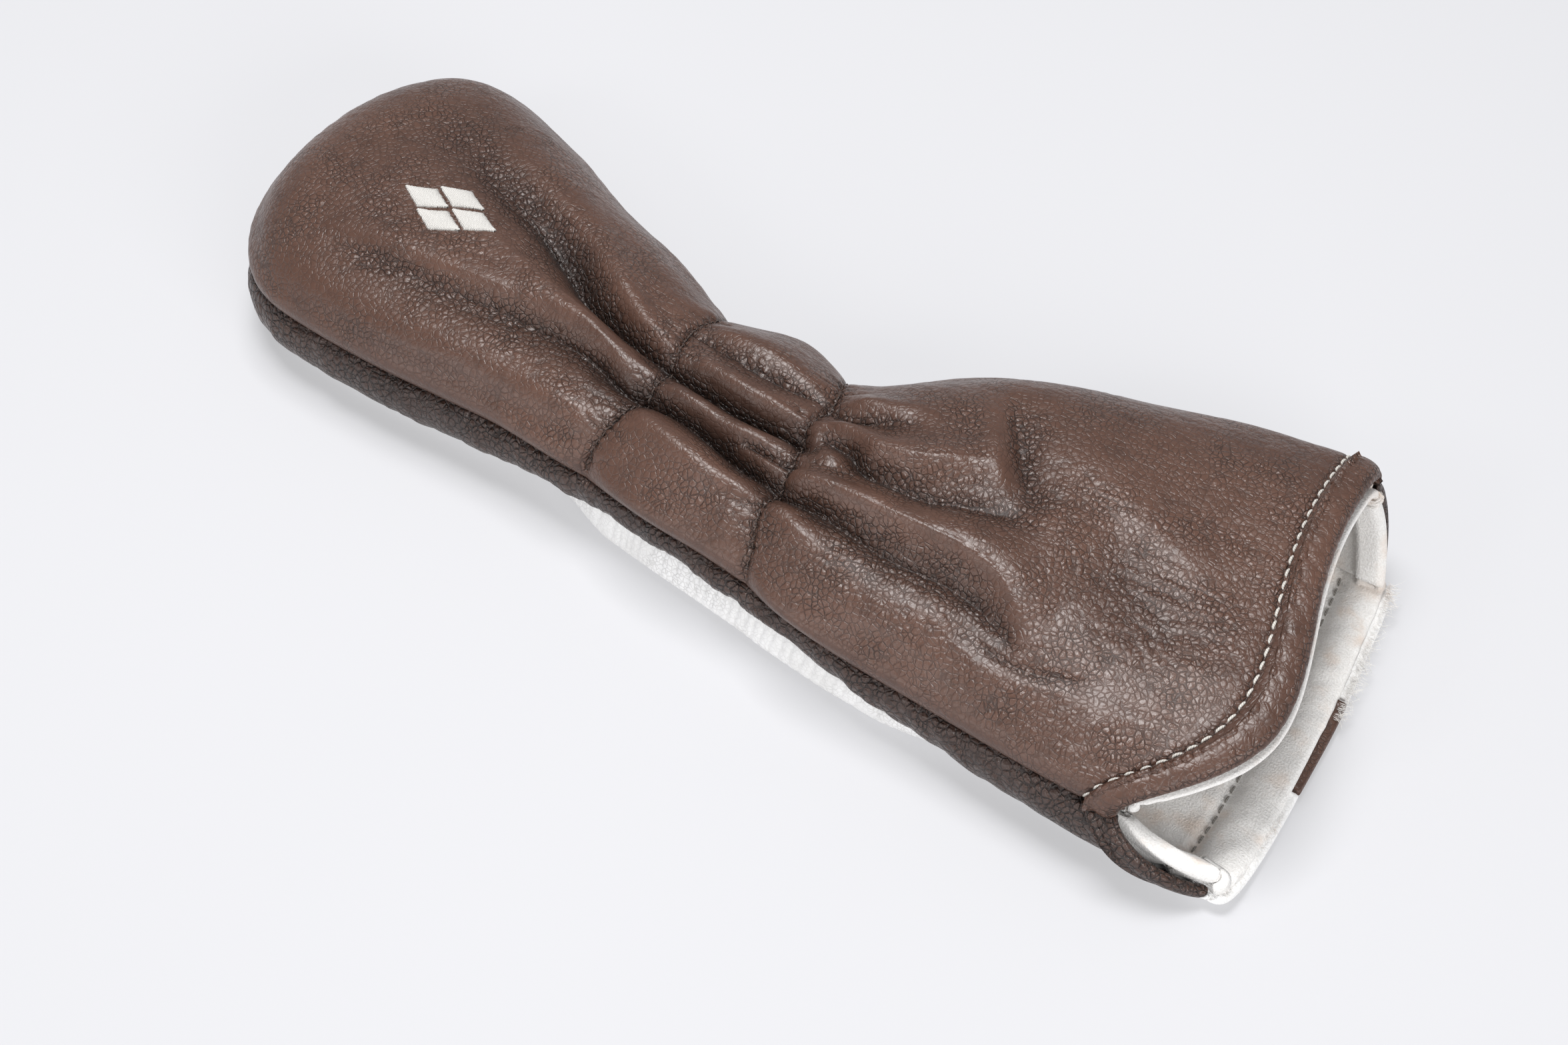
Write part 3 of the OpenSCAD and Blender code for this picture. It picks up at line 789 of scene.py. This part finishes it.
def side_grid(columns, tuck_in=1.6):
    """The gusset's skin along the seam's path."""
    t = np.linspace(0, 1, columns)[None, :]
    x = TABLE_HEAD_X + path_e[:, None]
    upright = raised_seam(x)
    bulge = (SIDE_BULGE - 1.4 * upright) * np.clip(np.sin(math.pi * t), 0, 1) ** 0.8
    out = bulge - (TUCK - 2 * upright) * t**2 - tuck_in * np.exp(-t / 0.05)
    z = seam_line[:, 2:3] + (column(x, LOW) - seam_line[:, 2:3]) * t
    side = path_side[:, None]
    shift = (top_cut(side) - under_cut(side)) * near_mouth(x) * t
    xy = seam_line[:, None, :2] + outward[:, None] * out[..., None]
    xy[..., 0] += shift
    return np.concatenate([xy, z[..., None]], -1)


PUCKER_PITCH = 3.4
PANEL_ACROSS = 45.0
TIP_RISE = 10.0


def seam_puckers(along, from_seam, fade):
    """Close transverse puckers where a panel is gathered into a seam."""
    phase = along / PUCKER_PITCH + 0.8 * noise(along / 9, along * 0, 12) + 0.05 * from_seam
    off = np.abs(phase - np.round(phase))
    return (0.3 - np.exp(-off / 0.13)) * np.exp(-from_seam / fade)


def side_relief(grid):
    """Heights of the gusset's puckers, creases and hems."""
    t = np.linspace(0, 1, grid.shape[1])[None, :]
    along = run[:, None]
    height = grid[:, :1, 2] - grid[:, -1:, 2]
    low_seam = (1 - t) * height
    gathered = bell(grid[..., 0] - 25, 75)
    folds = 0.7 * seam_puckers(along, low_seam, 3.0) * (0.35 + 0.9 * gathered)
    folds += 0.45 * noise(along / 7, t * 2.5, 14) + 0.25 * noise(along / 2.5, t * 3.5, 15)
    folds += 0.5 * gathered * noise(along / 4, t * 1.5, 16)
    back = (BODY_LEN - path_e)[:, None]
    return folds * smooth_step(back, 3, HEM_W + 6) + hem_roll(back, 1.3, 0.8)


def hemmed_both_ends(grid, radius, inside):
    """Turned hems at both mouth ends of a grid that follows the seam's path."""
    grid = turned_hem(grid, radius, inside)
    return turned_hem(grid[::-1], radius, inside, -1.0)[::-1]


def lower_edges():
    """The gusset's two lower edges, each from the head end to the mouth."""
    edge = side_grid(9)[:, -1]
    return edge[:SIDE_ROWS][::-1], edge[SIDE_ROWS:]


def under_grid(v_from, v_to, columns, rows=SIDE_ROWS, e_end=BODY_LEN):
    """The underside between two lines of v. Each limit is a number, or a function of e."""
    near, far = lower_edges()
    e = station(np.linspace(0, 1, rows)) * e_end / BODY_LEN
    lo, hi = curve_at(e, seam_e, near), curve_at(e, seam_e, far)
    a = v_from(e) if callable(v_from) else np.full_like(e, v_from)
    b = v_to(e) if callable(v_to) else np.full_like(e, v_to)
    v = a[:, None] + (b - a)[:, None] * np.linspace(0, 1, columns)[None, :]
    x = TABLE_HEAD_X + e[:, None]
    half = (hi[:, 1] - lo[:, 1])[:, None] / 2
    middle = (hi[:, 1] + lo[:, 1])[:, None] / 2
    turn = math.pi / 2 * np.clip((np.abs(v) - FLAT) / (1 - FLAT), 0, 1)
    swell = np.maximum(column(x, SWELL), 0) * np.clip(np.sin(2 * turn), 0, 1) ** 0.7
    rounded = np.sin(turn) ** (1 - 0.4 * raised_seam(x))
    swell = swell + 2.2 * raised_seam(x) * bell(np.degrees(turn) - 32, 26) * np.clip(turn / 0.3, 0, 1)
    y = middle + np.sign(v) * (half * (np.minimum(np.abs(v), FLAT) + (1 - FLAT) * rounded) + swell)
    under = np.maximum(column(x, UNDER) - 2.4 * raised_seam(x) * smooth_step(np.abs(v), 0.35, 0.6), 0)
    low = (lo[:, 2:] * (1 - v) + hi[:, 2:] * (1 + v)) / 2
    z = under + (low - under) * (1 - np.cos(turn)) ** (1 + 0.3 * raised_seam(x))
    z = z + (low - z) * (1 - opened(e, TIP_RISE, 2.0))[:, None]
    lean = np.abs(outward[SIDE_ROWS:, 0])
    push = TUCK * np.interp(e, seam_e, lean) * smooth_step(e, 60, 30)
    skew = under_cut(v) * near_mouth(x)
    return np.stack([x + SHIFT[0] + push[:, None] - skew, y, z], -1), e, v


def stripe_v(e):
    """The v at which the stripe ends, so that it keeps its width."""
    near, far = lower_edges()
    half = np.interp(e, seam_e, (far[:, 1] - near[:, 1]) / 2)
    return np.minimum(FLAT, STRIPE_W / 2 / np.maximum(half, 4))


def under_relief(grid, v):
    """Heights of the underside's puckers and soft creases, outward being down or sideways."""
    from_seam = np.maximum(1 - np.abs(v), 0) * PANEL_ACROSS
    gathered = 0.2 + 0.6 * bell(grid[..., 0] - 30, 60)
    folds = seam_puckers(grid[..., 0], from_seam, 6.0) * gathered
    folds += 0.25 * noise(grid[..., 0] / 9, grid[..., 1] / 14, 21) * gathered
    return folds


# ---------------------------------------------------------------- pieces
FLOOR_CLEAR = 0.02
PANEL_CUT = (0.36, 0.06)
STRIPE_CUT = (0.36, 0.034)
LINING_DEPTH = 4.45
PAST_PAD = 207.0
HEM_IN = 12.0
PAD_FROM, PAD_TO = 21.4, 126.0
PAD_T = 1.9
TAPE_W = 8.0
BACKING_LEN = 36.0


def mark(piece, name, values, rows):
    """Stores a value per point for the material to read. Rows past the grid's own are 0."""
    full = np.zeros((rows, values.shape[1]))
    full[:len(values)] = values
    piece.data.attributes.new(name, "FLOAT", "POINT").data.foreach_set("value", full.ravel())


def add_top_panel():
    """The top leather, with the marks that its material reads: how slack its grain is, and how deep its folds
    are, for painted shade in their hollows.
    """
    grid = turned_hem(top_grid, HEM_ROLL, 8)
    piece = add_sheet("top_leather_panel", "top_panel", grid, top_leather)
    # Painted shade: fold depth, which the material darkens as shade in the hollows
    mark(piece, "painted_fold_shade", np.clip(-relief / 6, 0, 1), grid.shape[0])
    bent = (blur(relief, 24) - relief) / 0.4
    mark(piece, "slack", blur(np.clip(bent + np.clip(-relief / 5, 0, 0.7), -0.5, 1), 3), grid.shape[0])


def add_gusset():
    """The side leather, and its skin without the hems for the stitches."""
    grid = side_grid(44)
    grid = grid + normals(grid) * side_relief(grid)[..., None]
    grid[..., 2] = np.maximum(grid[..., 2], FLOOR_CLEAR)
    hemmed = hemmed_both_ends(grid, HEM_ROLL, 8)
    hemmed[..., 2] = np.maximum(hemmed[..., 2], FLOOR_CLEAR)
    add_sheet("side_leather_gusset", "side_gusset", hemmed, side_leather)
    return grid


def add_underside():
    """The two pale panels and the dark stripe between them."""
    gap = 0.004
    pale = (56, white_leather, "white_leather", PANEL_CUT)
    dark = (24, stripe_leather, "brown_leather", STRIPE_CUT)
    panels = (("underside_leather_near", "underside_panel_near", -1.0, lambda e: -stripe_v(e) - gap, pale),
              ("underside_leather_stripe", "underside_stripe", lambda e: -stripe_v(e), stripe_v, dark),
              ("underside_leather_far", "underside_panel_far", lambda e: stripe_v(e) + gap, 1.0, pale))
    grids = {}
    for name, node, v0, v1, (columns, material, slot, cut) in panels:
        grid, e, v = under_grid(v0, v1, columns, e_end=BODY_LEN + 1.6)
        back = (BODY_LEN - e)[:, None]
        out = -normals(grid)
        folds = under_relief(grid, v) * smooth_step(back, 3, HEM_W + 6)
        seam = -0.7 * np.exp(-np.abs(np.abs(v) - stripe_v(e)[:, None]) * PANEL_ACROSS / 1.1)
        grid = grid + out * (folds + seam + hem_roll(back, 0.5, 0))[..., None]
        grid[..., 2] = np.maximum(grid[..., 2], FLOOR_CLEAR)
        hemmed = turned_hem(grid, 1.1, 8, -1.0)
        hemmed[..., 2] = np.maximum(hemmed[..., 2], FLOOR_CLEAR)
        add_sheet(name, node, hemmed, material, flip=True)
        grids[name] = grid
    return grids


def lining_depth(e, under_pad, thinner, at_edge):
    """How deep the lining lies: under the pads, closer to the leather past them, deeper at its edge."""
    back = BODY_LEN - e
    return under_pad - thinner * smooth_step(e, PAST_PAD, PAST_PAD + 36) + at_edge * smooth_step(back, 16, 6)


def add_linings():
    """The brushed lining, whose thick rolled edge shows round the mouth."""
    rows, columns = 200, 110
    e = np.linspace(4.6, BODY_LEN + 0.6, rows)
    v = np.linspace(-0.985, 0.985, columns)
    top = inner_top(e[0], e[-1], v[0], v[-1], 0, rows, columns)
    top = top - normals(top) * lining_depth(e, LINING_DEPTH, 2.7, 3.0)[:, None, None]
    roll = 0.9 + 0.9 * smooth_step(np.abs(v), 0.6, 1.0)
    top = turned_hem(top, roll[:, None], 5)
    add_sheet("lining_cloth_top", "lining_top", top, lining_cloth)

    grid = side_grid(30, tuck_in=0)
    grid = grid - normals(grid) * lining_depth(path_e, LINING_DEPTH, 2.7, 2.6)[:, None, None]
    grid = hemmed_both_ends(grid, 2.3, 6)
    grid[..., 2] = np.maximum(grid[..., 2], 1.6)
    add_sheet("lining_cloth_side", "lining_gusset", grid, lining_cloth)

    grid, e, v = under_grid(-0.97, 0.97, 120, 240, BODY_LEN - 0.8)
    depth = lining_depth(e, 5.6, 2.9, 0.8)
    back = (BODY_LEN - e)[:, None]
    groove = -1.3 * bell(back - HEM_IN, 1.2) + 1.3 * bell(back - 5, 4.5)
    x, y = grid[..., 0], grid[..., 1]
    waves = 0.5 * noise(x / 9, y / 6, 31) + 0.25 * noise(x / 3, y / 3, 32)
    grid = grid + normals(grid) * (depth[:, None] + groove + waves)[..., None]
    plump = 2.3 - 1.0 * smooth_step(v[-1], -0.7, 0.2)
    hemmed = turned_hem(grid, plump[:, None], 6)
    add_sheet("lining_cloth_underside", "lining_underside", hemmed, lining_cloth)

    columns = np.linspace(3, grid.shape[1] - 4, 400)
    rows = np.full_like(columns, np.interp(BODY_LEN - HEM_IN, e, np.arange(len(e))))
    threads = stitches_along(*on_grid(grid, rows, columns), *INSIDE_STITCH)
    add_threads("hem_threads_inside", threads, 0.3, grey_yarn)


def add_pads():
    """The two foam pads of the head pocket."""
    rows, columns = 70, 60
    grid = inner_top(PAD_FROM, PAD_TO, -0.8, 0.8, 2.1, rows, columns)
    i, j = np.arange(rows), np.arange(columns)
    edge = np.minimum.outer(np.minimum(i, i[::-1]), np.minimum(j, j[::-1]))
    grid = grid - normals(grid) * (0.5 * np.exp(-edge / 1.5))[..., None]
    piece = add_grid("foam_pad_top", grid, pad_foam, PAD_T)
    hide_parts("padding_top")
    grid, e, _ = under_grid(-0.85, 0.85, columns, 110)
    grid = grid[(e > PAD_FROM) & (e < PAD_TO)]
    grid = grid + normals(grid) * 2.2
    piece = add_grid("foam_pad_underside", grid, pad_foam, PAD_T, flip=True)
    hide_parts("padding_underside")


def add_elastics():
    """The two flat elastics that gather the neck."""
    for which, x in GATHERS.items():
        middle = x - HEAD_X
        grid = inner_top(middle - TAPE_W / 2, middle + TAPE_W / 2, -0.9, 0.9, 1.7, 12, 150)
        add_sheet("elastic_tape_" + which, "elastic_band_" + which, grid, elastic_cloth,
                  0.7)


def tube(points, radius, sides=8):
    """Points, quads and UVs of a thread with pinched ends along a short list of points."""
    points = np.asarray(points, float)
    along = unit(np.gradient(points, axis=0))
    across = unit(np.cross(along, [0.13, 0.21, 0.97]))
    other = np.cross(along, across)
    count = len(points)
    taper = np.clip(np.sin(math.pi * np.linspace(0.04, 0.96, count)), 0, 1) ** 0.35
    angles = np.arange(sides) * 2 * math.pi / sides
    ring = (across[:, None] * np.cos(angles)[None, :, None] + other[:, None] * np.sin(angles)[None, :, None])
    verts = points[:, None] + ring * (radius * taper)[:, None, None]
    length = lengths(points)
    uv = np.stack(np.broadcast_arrays(length[:, None], (np.arange(sides) / sides)[None, :]), -1)
    faces = []
    for i in range(count - 1):
        for j in range(sides):
            k = (j + 1) % sides
            faces.append((i * sides + j, i * sides + k, (i + 1) * sides + k, (i + 1) * sides + j))
    faces.append(tuple(range(sides))[::-1])
    faces.append(tuple((count - 1) * sides + j for j in range(sides)))
    return verts.reshape(-1, 3), faces, uv.reshape(-1, 2)


def add_threads(name, threads, radius, material, nodes=(), sides=8):
    """One piece made of many short threads."""
    points, faces, uvs = [], [], []
    start = 0
    for thread in threads:
        p, f, uv = tube(thread, radius, sides)
        points.append(p)
        uvs.append(uv)
        faces += [tuple(start + k for k in face) for face in f]
        start += len(p)
    piece = add_mesh(name, np.concatenate(points), faces, material, np.concatenate(uvs))
    if nodes:
        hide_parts(*nodes)
    return piece


# Length, pitch, rise, sink and slant of each kind of stitch, as far as all of its kind share them
HEM_STITCH = (3.1, 4.1, 0.42, 0.5, 0.22)
INSIDE_STITCH = (2.9, 3.6, 0.3, 0.4)
GATHER_STITCH = (1.9, 2.7, 0.4, 0.5)
SEAM_STITCH = (2.6, 3.6, 0.1)


def stitches_along(line, up, length, pitch, rise, sink, slant=0.0, samples=9):
    """Arched stitches along a line of points, each one standing up by rise and ending sunk in the leather."""
    line, up = np.asarray(line, float), np.asarray(up, float)
    far = lengths(line)
    side = np.cross(unit(np.gradient(line, axis=0)), up)
    rng = np.random.default_rng(SEED + len(line))
    out = []
    for start in np.arange(pitch * 0.3, far[-1] - length, pitch):
        begin = start + rng.uniform(-0.12, 0.12)
        where = begin + np.linspace(0, length * rng.uniform(0.94, 1.04), samples)
        p = curve_at(where, far, line)
        u, w = unit(curve_at(where, far, up)), unit(curve_at(where, far, side))
        t = np.linspace(-1, 1, samples)
        lift = rise - (rise + sink) * np.abs(t) ** 4
        out.append(p + u * lift[:, None] + w * (slant * t)[:, None])
    return out


def add_gather_stitches():
    """The brown stitches that hold each elastic, across the folds of the top."""
    for which, x in GATHERS.items():
        v = np.linspace(-0.86, 0.86, 700)
        columns = column_at(v)
        rows = np.full_like(v, row_at(x - HEAD_X))
        for _ in range(4):
            spots = sample(smooth_top, rows, columns)
            rows = row_at(row_x(spots[:, 1], which) - HEAD_X)
        threads = stitches_along(*on_grid(top_grid, rows, columns), *GATHER_STITCH)
        add_threads("gather_threads_" + which, threads, 0.24, brown_yarn,
                    ("gather_stitch_" + which,))


def add_hem_stitches(side, under):
    """The pale topstitch round the mouth, a hem's width from its edge."""
    e = BODY_LEN - HEM_W
    columns = np.linspace(COLUMNS - 1, 0, 900)
    rows = np.full_like(columns, row_at(e))
    threads = stitches_along(*on_grid(top_grid, rows, columns), *HEM_STITCH)
    row = np.interp(e, seam_e, np.arange(SIDE_ROWS))
    for side_row in (SIDE_ROWS - 1 - row, SIDE_ROWS + row):
        columns = np.linspace(2, side.shape[1] - 2, 160)
        rows = np.full_like(columns, side_row)
        threads += stitches_along(*on_grid(side, rows, columns), *HEM_STITCH)
    for grid in under.values():
        columns = np.linspace(0, grid.shape[1] - 1.1, 200)
        rows = np.full_like(columns, row)
        line, inward = on_grid(grid, rows, columns)
        line[:, 2] = np.maximum(line[:, 2], 0.5)
        length, pitch, _, sink, slant = HEM_STITCH
        threads += stitches_along(line, -inward, length, pitch, 0.05, sink, slant)
    add_threads("hem_threads", threads, 0.42, white_yarn, ("hem_topstitch",))


def add_seam_threads(side, under):
    """Thread inside the seams: top to gusset, gusset to underside, and along the stripe."""
    for which, place in (("top", 0.6), ("underside", side.shape[1] - 1.4)):
        rows = np.linspace(4, side.shape[0] - 5, 2400)
        columns = np.full_like(rows, place)
        line, up = on_grid(side, rows, columns)
        threads = stitches_along(line - up * 0.5, up, *SEAM_STITCH, 0.4)
        add_threads("seam_threads_" + which, threads, 0.3, brown_yarn,
                    ("seam_thread_" + which,))
    for which, place in (("near", -1), ("far", 0)):
        line = under["underside_leather_" + which][8:-8, place].copy()
        line[:, 2] += LEATHER_T + 0.4
        up = np.tile([0.0, 0.0, 1.0], (len(line), 1))
        threads = stitches_along(line, up, *SEAM_STITCH, 0.3)
        add_threads("stripe_threads_" + which, threads, 0.3, brown_yarn,
                    ("stripe_thread_" + which,))


MOTIF = (-105.4, -7.5)
LOZENGE_LEN = 15.0
LOZENGE_W = 8.5
LOZENGE_GAP = 1.0
SATIN_STEP = 0.3


def on_top(x, y):
    """Rows and columns of the top's grid at x and y."""
    rows = row_at(x - HEAD_X)
    columns = np.array([np.interp(b, smooth_top[int(round(a)), :, 1], np.arange(COLUMNS))
                        for a, b in zip(rows, y)])
    return rows, columns


def add_lozenges():
    """Four lozenges of satin stitch in a cluster, each of close parallel threads over a padded core."""
    rng = np.random.default_rng(SEED + 40)
    out = normals(blur(top_grid, 4))
    dx, dy = LOZENGE_LEN / 2 + LOZENGE_GAP, LOZENGE_W / 2 + LOZENGE_GAP
    for which, cx, cy in (("head", -dx, 0), ("mouth", dx, 0), ("near", 0, -dy), ("far", 0, dy)):
        threads = []
        for x in np.arange(-LOZENGE_LEN / 2 + SATIN_STEP / 2, LOZENGE_LEN / 2, SATIN_STEP):
            reach = (1.04 - abs(x) / (LOZENGE_LEN / 2)) * LOZENGE_W / 2 + rng.uniform(-0.14, 0.14)
            t = np.linspace(-1, 1, 13)
            px = MOTIF[0] + cx + x + 0.12 * t
            py = MOTIF[1] + cy + t * max(reach, 0.35)
            rows, columns = on_top(px, py)
            lift = 0.75 * (1 - np.abs(t) ** 6) - 0.2
            threads.append(sample(top_grid, rows, columns) + sample(out, rows, columns) * lift[:, None])
        add_threads("embroidery_" + which, threads, 0.27, satin_yarn,
                    ("embroidered_lozenge_" + which,), 6)
    e = MOTIF[0] - HEAD_X
    grid = inner_top(e - BACKING_LEN / 2, e + BACKING_LEN / 2, -0.27, 0.12, 1.6, 40, 40)
    add_sheet("embroidery_backing_cloth", "embroidery_backing", grid, backing_cloth,
              0.2)


LOOSE_FIBRES = 380


def add_loose_threads():
    """Frayed ends of lining cloth along the mouth's lower edge, most of them on its far part."""
    rng = np.random.default_rng(SEED + 50)
    threads = []
    grid, _, _ = under_grid(-0.95, 0.95, 90, 200, BODY_LEN + 0.5)
    edge = grid[-1]
    for _ in range(LOOSE_FIBRES):
        k = rng.uniform(52, 87) if rng.uniform() < 0.8 else rng.uniform(2, 24)
        base = curve_at(k, np.arange(len(edge)), edge) + [rng.uniform(0.2, 1.2), 0, rng.uniform(2.5, 4.6)]
        length = rng.uniform(0.6, 3.2) * (1.3 if k > 45 else 0.6)
        bend = rng.uniform(-0.9, 0.9)
        t = np.linspace(0, 1, 6)
        points = np.stack([base[0] + length * t, base[1] + bend * length * t**2,
                           base[2] + rng.uniform(-0.5, 0.6) * length * t**2], -1)
        points[:, 2] = np.maximum(points[:, 2], 0.2)
        threads.append(points)
    add_threads("lining_loose_threads", threads, 0.07, lining_cloth, (), 4)


def add_floor():
    """A plain pale floor, lit a little from within as a product table is."""
    look = Look("floor_paper")
    colour = look.mix(look.noise(300, 2), rgb(158, 158, 161), rgb(162, 162, 165))
    rough = look.spread(look.noise(40, 2), 0, 1, 0.8, 0.9)
    material = look.finish(colour, rough, look.bump(look.noise(3, 2), 0.005))
    look.set(Emission_Color=(0.99, 0.99, 1.0, 1), Emission_Strength=0.38, Specular_IOR_Level=0.1)
    mesh = bpy.data.meshes.new("floor")
    reach = 4.0
    corners = [(-reach, -reach, 0), (reach, -reach, 0), (reach, reach, 0), (-reach, reach, 0)]
    mesh.from_pydata(corners, [], [(0, 1, 2, 3)])
    mesh.materials.append(material)
    floor = bpy.data.objects.new("floor", mesh)
    bpy.context.scene.collection.objects.link(floor)


def add_lamp(name, place, target, size, power):
    """A rectangular soft lamp, in metres and watts."""
    lamp = bpy.data.lights.new(name, "AREA")
    lamp.shape = "RECTANGLE"
    lamp.size, lamp.size_y = size
    lamp.energy = power
    holder = bpy.data.objects.new(name, lamp)
    holder.location = place
    direction = np.array(target) - np.array(place)
    holder.rotation_euler = mathutils.Vector(direction.tolist()).to_track_quat("-Z", "Y").to_euler()
    bpy.context.scene.collection.objects.link(holder)


def add_camera():
    """The photo's view, over the near side of the mouth."""
    azimuth, elevation, distance = math.radians(35), math.radians(50), 0.7193
    target = np.array([0.0134, -0.01468, 0.0])
    back = np.array([math.sin(azimuth) * math.cos(elevation), -math.cos(azimuth) * math.cos(elevation),
                     math.sin(elevation)])
    data = bpy.data.cameras.new("camera")
    data.lens, data.sensor_width = 60, 36
    camera = bpy.data.objects.new("camera", data)
    camera.location = (target + distance * back).tolist()
    camera.rotation_euler = mathutils.Vector((-back).tolist()).to_track_quat("-Z", "Y").to_euler()
    bpy.context.scene.collection.objects.link(camera)
    bpy.context.scene.camera = camera


def add_light():
    world = bpy.data.worlds.new("studio")
    world.use_nodes = True
    world.node_tree.nodes["Background"].inputs["Color"].default_value = (0.93, 0.95, 1.0, 1)
    world.node_tree.nodes["Background"].inputs["Strength"].default_value = 0.3
    bpy.context.scene.world = world
    add_lamp("overhead_softbox", (-0.15, 0.05, 1.1), (0, 0, 0), (0.55, 0.45), 12.0)
    add_lamp("side_glint", (-0.25, -1.0, 0.75), (0, 0, 0.02), (0.25, 0.25), 1.5)
    add_lamp("low_fill", (-0.2, -0.85, 0.14), (0.02, 0, 0.02), (0.7, 0.12), 1.2)
    add_lamp("mouth_fill", (0.95, -0.5, 0.5), (0.15, 0, 0.02), (0.8, 0.5), 7.0)


add_camera()
add_light()
add_floor()
add_top_panel()
side_skin_grid = add_gusset()
under_grids = add_underside()
add_linings()
add_pads()
add_elastics()
add_gather_stitches()
add_hem_stitches(side_skin_grid, under_grids)
add_seam_threads(side_skin_grid, under_grids)
add_lozenges()
add_loose_threads()
